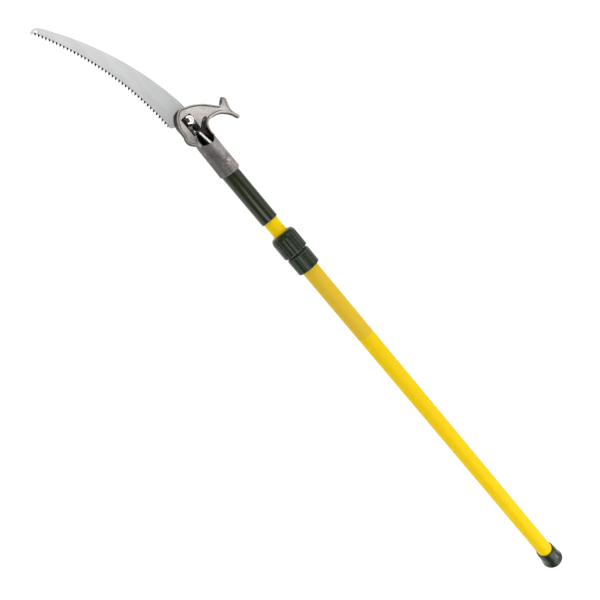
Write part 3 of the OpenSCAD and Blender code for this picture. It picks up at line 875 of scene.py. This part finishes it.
tube("outer_tube_skin", 4, 1014.5, 19.05, 16.8, M_YELLOW_OUT, "outer_pole", "outer_tube", POLE_X)
tube("inner_tube_skin", 99.5, 1298, 15.875, 13.275, M_YELLOW, "inner_pole", "inner_tube", POLE_X)

# sleeve, with a rounded lower lip
closed_turned("sleeve_skin", [(15.9, 1111.5), (19.3, 1111.5), (19.3, 1244.4), (15.9, 1244.4)], [0.3, 1.1, 0.3, 0.3], SEG, M_SLEEVE, "inner_pole", "grip_sleeve", POLE_X)

# cap: flared foot with a step where the flare starts
cap_pts = [
    (0.01, 1.3), (13, 1.3), (15.5, 0.0), (25.2, 0.0), (26.4, 1.0), (26.45, 3.0), (25.68, 7), (24.58, 11), (23.98, 15), (23.88, 21), (23.78, 26.1), (23.15, 31), (22.55, 35), (22.08, 38.9),
    (19.1, 38.9), (19.1, 4.0), (0.01, 4.0),
]


def closed_cap():
    rx = rounded(cap_pts, [0, 1, 1, 1.2, 2.4, 4, 5, 5, 6, 6, 6, 6, 6, 1.1, 0.3, 0.3, 0], 6)
    rx = [p for p in rx if p[0] > 0.02]
    n = SEG
    th = np.linspace(0, 2 * math.pi, n, endpoint=False)
    m = len(rx)
    verts = [(x, r * math.sin(t), r * math.cos(t)) for t in th for r, x in rx]
    faces = []
    for i in range(n):
        j = (i + 1) % n
        for k in range(m - 1):
            faces.append((j * m + k, j * m + k + 1, i * m + k + 1, i * m + k))
    c0, c1 = len(verts), len(verts) + 1
    verts += [(rx[0][1], 0, 0), (rx[-1][1], 0, 0)]
    for i in range(n):
        j = (i + 1) % n
        faces.append((i * m, c0, j * m))
        faces.append((j * m + m - 1, c1, i * m + m - 1))
    return make_object("cap_skin", to_row(verts, POLE_X), faces, M_CAP, "outer_pole", ["end_cap"], sharp_deg=40)


closed_cap()


# lock nut: ten broad lobes, the grooves between them end in a round shoulder
NUT_A, NUT_B, NUT_R = 1027.5, 1077.0, 28.6


def nut_shape(th, x, r):
    deg = np.degrees(th) % 360
    # CAD grooves: rotated about X from +Z, towards -Y
    ph = (deg + 8.0) % 36.0
    ph = np.minimum(ph, 36.0 - ph)
    arc = np.radians(ph) * NUT_R
    end = NUT_B - 8.5
    over = np.maximum(x - (end - 2.4), 0)
    d = np.sqrt(arc ** 2 + over ** 2)
    g = 1 - step(d, 0.7, 2.7)
    outside = step(r, 25.7, 27.0)
    lobe = 0.45 * (np.radians(18.0 - ph) * NUT_R / 8.8) ** 2
    lobe = 0.35 * step(ph, 5.0, 18.0) - 0.35
    return r - outside * (1.85 * g) + outside * lobe * (1 - step(x, end - 4, end + 4))


nut_pts = [
    (23.0, NUT_A), (28.55, NUT_A), (28.55, NUT_B - 11.0), (27.1, NUT_B - 5.5), (23.8, NUT_B - 1.6), (19.0, NUT_B), (16.5, NUT_B),
    (16.5, NUT_A + 34.1), (21.2, NUT_A + 34.1), (21.2, NUT_A + 28), (23.0, NUT_A + 28),
]
closed_turned("lock_nut_skin", nut_pts, [0.3, 1.2, 5, 4, 4, 1.4, 0.6, 0, 0, 0, 0], 540, M_LOCK, "nut", "lock_nut", POLE_X, nut_shape, 1.4, 50)

# fixed collar: sixteen finer ribs
COL_A, COL_B, COL_R = 984.0, 1021.5, 26.2


def collar_shape(th, x, r):
    deg = np.degrees(th) % 360
    ph = (deg + 6.0) % 22.5
    ph = np.minimum(ph, 22.5 - ph)
    arc = np.radians(ph) * COL_R
    g = 1 - step(arc, 0.35, 1.7)
    return r - step(r, 24.6, 25.5) * 1.15 * g * step(x, COL_A - 1, COL_A + 0.2)


col_pts = [
    (19.1, COL_A), (26.2, COL_A), (26.2, COL_B), (23.3, COL_B), (23.3, COL_B + 4.5), (22.6, COL_B + 4.5), (22.6, COL_B + 30), (19.2, COL_B + 30),
    (17.4, COL_B + 17), (16.15, COL_B + 17), (16.15, 1014.5), (19.1, 1014.5),
]
closed_turned("collar_skin", col_pts, [0.3, 1.5, 1.1, 0.2, 0.2, 0.2, 0.6, 0.3, 0, 0.2, 0, 0], 576, M_LOCK, "outer_pole", "lock_base", POLE_X, collar_shape, 1.6, 50)


def paint_lock_light(ob, crest, x_lo, x_hi, deep, lines):
    """Painted shade in the grooves and the hidden gap, and painted highlights along the edges and the given rim lines,
    of a ribbed skin, from how far each point lies below the crests.
    """
    co = np.empty(len(ob.data.vertices) * 3)
    ob.data.vertices.foreach_get("co", co)
    co = co.reshape(-1, 3) * 1000.0
    x = co[:, 0] + 816.5
    r = np.hypot(co[:, 1] + 13.6, co[:, 2] - AXIS_Z)
    body = (x > x_lo) & (x < x_hi) & (r > crest - 2.6)
    d = crest - r
    groove = step(d, deep * 0.35, deep * 0.85) * body
    edge = step(d, 0.02, 0.12) * (1 - step(d, 0.3, 0.55)) * body
    for xa, xb in lines:
        edge = np.maximum(edge, 0.8 * ((x > xa) & (x < xb) & (r > crest - 1.4)))
    hidden = ((r < 24.3) & (x > COL_B - 0.2) & (x < NUT_A + 6)).astype(float)
    edge = edge * (1 - groove) * (1 - hidden)
    groove = np.maximum(groove, hidden)
    at = ob.data.color_attributes.new("lock_painted_light", "FLOAT_COLOR", "POINT")
    at.data.foreach_set("color", np.stack([groove, edge, edge * 0, edge * 0 + 1], 1).astype(np.float32).ravel())


# painted highlight lines along the nut's lower rim and the collar's top rim
paint_lock_light(bpy.data.objects["lock_nut_skin"], 28.2, NUT_A + 0.4, NUT_B - 10.8, 1.85, [(NUT_A - 0.1, NUT_A + 0.9)])
paint_lock_light(bpy.data.objects["collar_skin"], 26.17, COL_A + 1.2, COL_B - 0.9, 1.15, [(COL_B - 1.0, COL_B + 0.1)])

# ---------------------------------------------------------------- fasteners
def hexagon(z0, z1, af, chamfer_top, chamfer_bottom, hole, cu, name, material, node, turn=0.0, wall=None):
    """Hexagon bar with its corners rounded off by a cone at the ends and a hole through it."""
    n = 96
    th = np.linspace(0, 2 * math.pi, n, endpoint=False)
    sect = (np.degrees(th) - turn) % 60.0
    flat = (af / 2) / np.cos(np.radians(sect - 30.0))
    flat = np.minimum(flat, af / 2 / math.cos(math.radians(30)) * 0.985)
    rings = []

    def ring(z, r):
        rings.append(np.stack([cu + r * np.cos(th), BOLT_Y + r * np.sin(th), np.full(n, z)], 1))

    hr = np.full(n, hole)
    ring(z0, hr)
    if chamfer_bottom:
        ring(z0, np.full(n, af / 2 - 0.35))
        ring(z0 + 0.25, np.minimum(flat, af / 2 + 0.1))
        zc = z0 + np.clip((flat - af / 2) * 0.62 + 0.25, 0.25, 2)
        rings.append(np.stack([cu + flat * np.cos(th), BOLT_Y + flat * np.sin(th), zc], 1))
    else:
        ring(z0, flat - 0.15)
        ring(z0 + 0.15, flat)
    if chamfer_top:
        zc = z1 - np.clip((flat - af / 2) * 0.62 + 0.25, 0.25, 2)
        rings.append(np.stack([cu + flat * np.cos(th), BOLT_Y + flat * np.sin(th), zc], 1))
        ring(z1 - 0.25, np.minimum(flat, af / 2 + 0.1))
        ring(z1, np.full(n, af / 2 - 0.35))
    else:
        ring(z1 - 0.15, flat)
        ring(z1, flat - 0.15)
    if hole > 0.3:
        ring(z1, hr + 0.7)
        ring(z1 - 0.7, hr)
    v = np.concatenate(rings)
    m = len(rings)
    faces = []
    for k in range(m - 1 if hole <= 0.3 else m):
        l = (k + 1) % m
        for i in range(n):
            j = (i + 1) % n
            faces.append((k * n + i, k * n + j, l * n + j, l * n + i))
    if hole <= 0.3:
        faces.append(tuple(range(n))[::-1])
        faces.append(tuple((m - 1) * n + i for i in range(n)))
    ob = make_object(name, to_row(v, HEAD_X), faces, [material, wall or M_ZINC_SHADED_WALL, M_ZINC_SHADE], "inner_pole", [node] if node else (), sharp_deg=22)
    bm_fix(ob)
    # side walls get the darker zinc as painted shade; on the seat the sides facing the neck get the darkest zinc as
    # painted shade
    ob.data.polygons.foreach_set("material_index", [2 if wall and p.normal.x < -0.3 and abs(p.normal.z) < 0.97 else 1 if abs(p.normal.z) < 0.4 else 0 for p in ob.data.polygons])
    return ob


def lathe_z(name, rz, cu, cy, material, nodes, n=64, thread=None, sharp=35):
    """Solid turned about a bolt's axis, from points [radius, z] bottom to top."""
    rz = np.array(rz, float)
    th = np.linspace(0, 2 * math.pi, n, endpoint=False)
    m = len(rz)
    r = np.repeat(rz[:, 0][None, :], n, 0)
    if thread is not None:
        z0, z1, pitch, depth = thread
        zz = rz[:, 1][None, :] + pitch * (th[:, None] / (2 * math.pi))
        saw = np.abs(((zz / pitch) % 1.0) - 0.5) * 2
        mask = (rz[:, 1] > z0) & (rz[:, 1] < z1) & (rz[:, 0] > 3)
        r = r - depth * saw * mask[None, :]
    v = np.stack([cu + r * np.cos(th[:, None]), cy + r * np.sin(th[:, None]), np.repeat(rz[:, 1][None, :], n, 0)], -1).reshape(-1, 3)
    faces = []
    for i in range(n):
        j = (i + 1) % n
        for k in range(m - 1):
            faces.append((i * m + k, j * m + k, j * m + k + 1, i * m + k + 1))
    c0, c1 = len(v), len(v) + 1
    v = np.concatenate([v, [[cu, cy, rz[0, 1]], [cu, cy, rz[-1, 1]]]])
    for i in range(n):
        j = (i + 1) % n
        faces.append((j * m, i * m, c0))
        faces.append((i * m + m - 1, j * m + m - 1, c1))
    ob = make_object(name, to_row(v, HEAD_X), faces, material, "inner_pole", nodes, sharp_deg=sharp)
    bm_fix(ob)
    return ob


BACK_Z = -4.7
RU, FU = BOLT_U
hexagon(5.0, 13.0, 16.0, True, False, 5.05, FU, "nut_front_skin", M_NUT, "blade_nut_front")
hexagon(5.0, 11.0, 16.0, True, False, 5.05, RU, "seat_rear_skin", M_SEAT, "hex_seat_rear", wall=M_SEAT)
hexagon(BACK_Z - 8.0, BACK_Z, 16.0, False, True, 5.05, RU, "nut_rear_skin", M_BLACK, "blade_nut_rear")
hexagon(BACK_Z - 6.4, BACK_Z, 16.0, False, True, 0.0, FU, "bolt_front_head", M_ZINC, None)


def threaded(z0, z1, zt0, zt1, r):
    pts = [(0.02, z0), (r - 0.7, z0), (r - 0.05, z0 + 0.65)]
    z = z0 + 0.9
    while z < z1 - 0.9:
        pts.append((r - 0.05, z))
        z += 0.22
    pts += [(r - 0.05, z1 - 0.65), (r - 0.7, z1), (0.02, z1)]
    return pts


lathe_z("bolt_front_shank", threaded(BACK_Z - 0.05, 12.6, 4.0, 11.9, 5.0), FU, BOLT_Y, M_NUT, ["blade_bolt_front"], 64, (3.0, 12.0, 1.5, 0.55))
lathe_z("bolt_rear_shank", threaded(BACK_Z - 9.0, 11.0, -12, 2, 5.0), RU, BOLT_Y, M_BLACK, [], 64, (-13.2, -2.0, 1.5, 0.55))
lathe_z("bolt_rear_head", [(0.02, 11.02), (7.3, 11.02), (7.7, 11.4), (7.7, 11.9), (7.5, 12.6), (7.0, 13.3), (6.0, 14.0), (4.6, 14.6), (2.8, 14.95), (1.2, 15.08), (0.02, 15.1)], RU, BOLT_Y, M_BLACK, ["blade_bolt_rear"], 64)


def neck_screw(name, q, first):
    """Round-headed screw with a cross recess, sunk in its boss; q turns it about the pole."""
    rz = [(0.02, 6.0), (1.9, 6.2), (2.0, 6.6), (2.0, 22.4), (3.1, 22.42), (3.4, 22.7), (3.4, 23.3), (3.2, 23.8), (2.6, 24.15), (1.9, 24.3)]
    n = 48
    th = np.linspace(0, 2 * math.pi, n, endpoint=False)
    cross = np.minimum(np.abs(np.sin(th)), np.abs(np.cos(th)))
    inner = np.where(cross < 0.24, 1.75, 0.75)
    rings = [np.stack([r * np.cos(th), r * np.sin(th), np.full(n, z)], 1) for r, z in rz]
    rings.append(np.stack([inner * np.cos(th), inner * np.sin(th), np.full(n, 24.32)], 1))
    rings.append(np.stack([inner * 0.8 * np.cos(th), inner * 0.8 * np.sin(th), np.full(n, 23.1)], 1))
    rings.append(np.stack([0.05 * np.cos(th), 0.05 * np.sin(th), np.full(n, 22.9)], 1))
    v = np.concatenate(rings)
    m = len(rings)
    faces = []
    for k in range(m - 1):
        for i in range(n):
            j = (i + 1) % n
            faces.append((k * n + i, k * n + j, (k + 1) * n + j, (k + 1) * n + i))
    faces.append(tuple(range(n))[::-1])
    faces.append(tuple((m - 1) * n + i for i in range(n)))
    a = math.radians(SCREW_TILT + q)
    out = np.stack([v[:, 0] + SCREW_U, v[:, 1] * math.cos(a) - v[:, 2] * math.sin(a), v[:, 1] * math.sin(a) + v[:, 2] * math.cos(a)], 1)
    ob = make_object(name, to_row(out, HEAD_X), faces, M_SCREW, "inner_pole", ["neck_screws"] if first else [], sharp_deg=30)
    bm_fix(ob)
    return ob


neck_screw("neck_screw_front", 0.0, True)
neck_screw("neck_screw_back", 180.0, False)
for n in ("lock_washers", "blade_washers"):
    frame["nodes"][n].data.materials.clear()
    frame["nodes"][n].data.materials.append(M_ZINC)

# ---------------------------------------------------------------- floor, light, camera
fm = bpy.data.meshes.new("floor")
fm.from_pydata([(-9, -9, -0.0004), (9, -9, -0.0004), (9, 9, -0.0004), (-9, 9, -0.0004)], [], [(0, 1, 2, 3)])
floor = bpy.data.objects.new("floor", fm)
scene.collection.objects.link(floor)
mt, nt, b = new_mat("floor")
b.inputs["Base Color"].default_value = (0.3, 0.3, 0.3, 1)
b.inputs["Roughness"].default_value = 0.9
b.inputs["Specular IOR Level"].default_value = 0.0
b.inputs["Emission Color"].default_value = (1, 1, 1, 1)
b.inputs["Emission Strength"].default_value = 0.9
fm.materials.append(mt)


def area(name, loc, target, sx, sy, power, color=(1, 1, 1)):
    d = bpy.data.lights.new(name, "AREA")
    d.shape = "RECTANGLE"
    d.size, d.size_y, d.energy, d.color = sx, sy, power, color
    o = bpy.data.objects.new(name, d)
    o.location = loc
    o.rotation_mode = "QUATERNION"
    o.rotation_quaternion = (Vector(target) - Vector(loc)).to_track_quat("-Z", "Y")
    scene.collection.objects.link(o)
    return o


def panel(name, loc, target, along, sx, sy, radiance, color=(1, 1, 1)):
    """A soft box with its long side in a set direction; the brightness is that of its surface."""
    o = area(name, loc, target, sx, sy, radiance * math.pi * sx * sy, color)
    z = (Vector(loc) - Vector(target)).normalized()
    x = Vector(along)
    x = (x - z * x.dot(z)).normalized()
    y = z.cross(x)
    o.rotation_quaternion = Matrix((x, y, z)).transposed().to_quaternion()
    return o


panel("key_strip", (-0.76, 0.35, 1.185), (-0.40, -0.0136, 0.03), (-0.901, -0.433, 0), 2.50, 0.84, 2.4)
panel("side_panel", (-0.3, -1.7, 1.5), (0, 0, 0.03), (1, 0, 0), 4.6, 2.0, 0.95)
panel("head_panel", (1.28, -0.46, 1.14), (0.60, 0.0, 0.03), (1, 0, 0), 1.4, 0.55, 1.85)
panel("far_panel", (-2.4, -0.87, 1.2), (-0.8, 0, 0.03), (0.34, -0.94, 0), 0.8, 0.7, 4.5)
w = bpy.data.worlds.new("world")
w.use_nodes = True
w.node_tree.nodes["Background"].inputs[0].default_value = (1, 1, 1, 1)
w.node_tree.nodes["Background"].inputs[1].default_value = 0.22
scene.world = w
scene.view_settings.view_transform = "Standard"

cam_data = bpy.data.cameras.new("camera")
cam_data.type = "PERSP"
cam_data.sensor_fit = "HORIZONTAL"
cam_data.sensor_width = 36.0
cam_data.lens = 32.4
cam_data.clip_start = 0.05
cam_data.clip_end = 50.0
cam = bpy.data.objects.new("camera", cam_data)
scene.collection.objects.link(cam)
right = (-0.63170361, -0.65940789, 0.40759268)
down = (-0.7365043, 0.6745725, -0.05013337)
ahead = (-0.24189247, -0.33186319, -0.91178663)
cam.matrix_world = Matrix((
    (right[0], -down[0], -ahead[0], 0.40314054),
    (right[1], -down[1], -ahead[1], 0.42092511),
    (right[2], -down[2], -ahead[2], 1.05010972),
    (0, 0, 0, 1),
))
scene.camera = cam
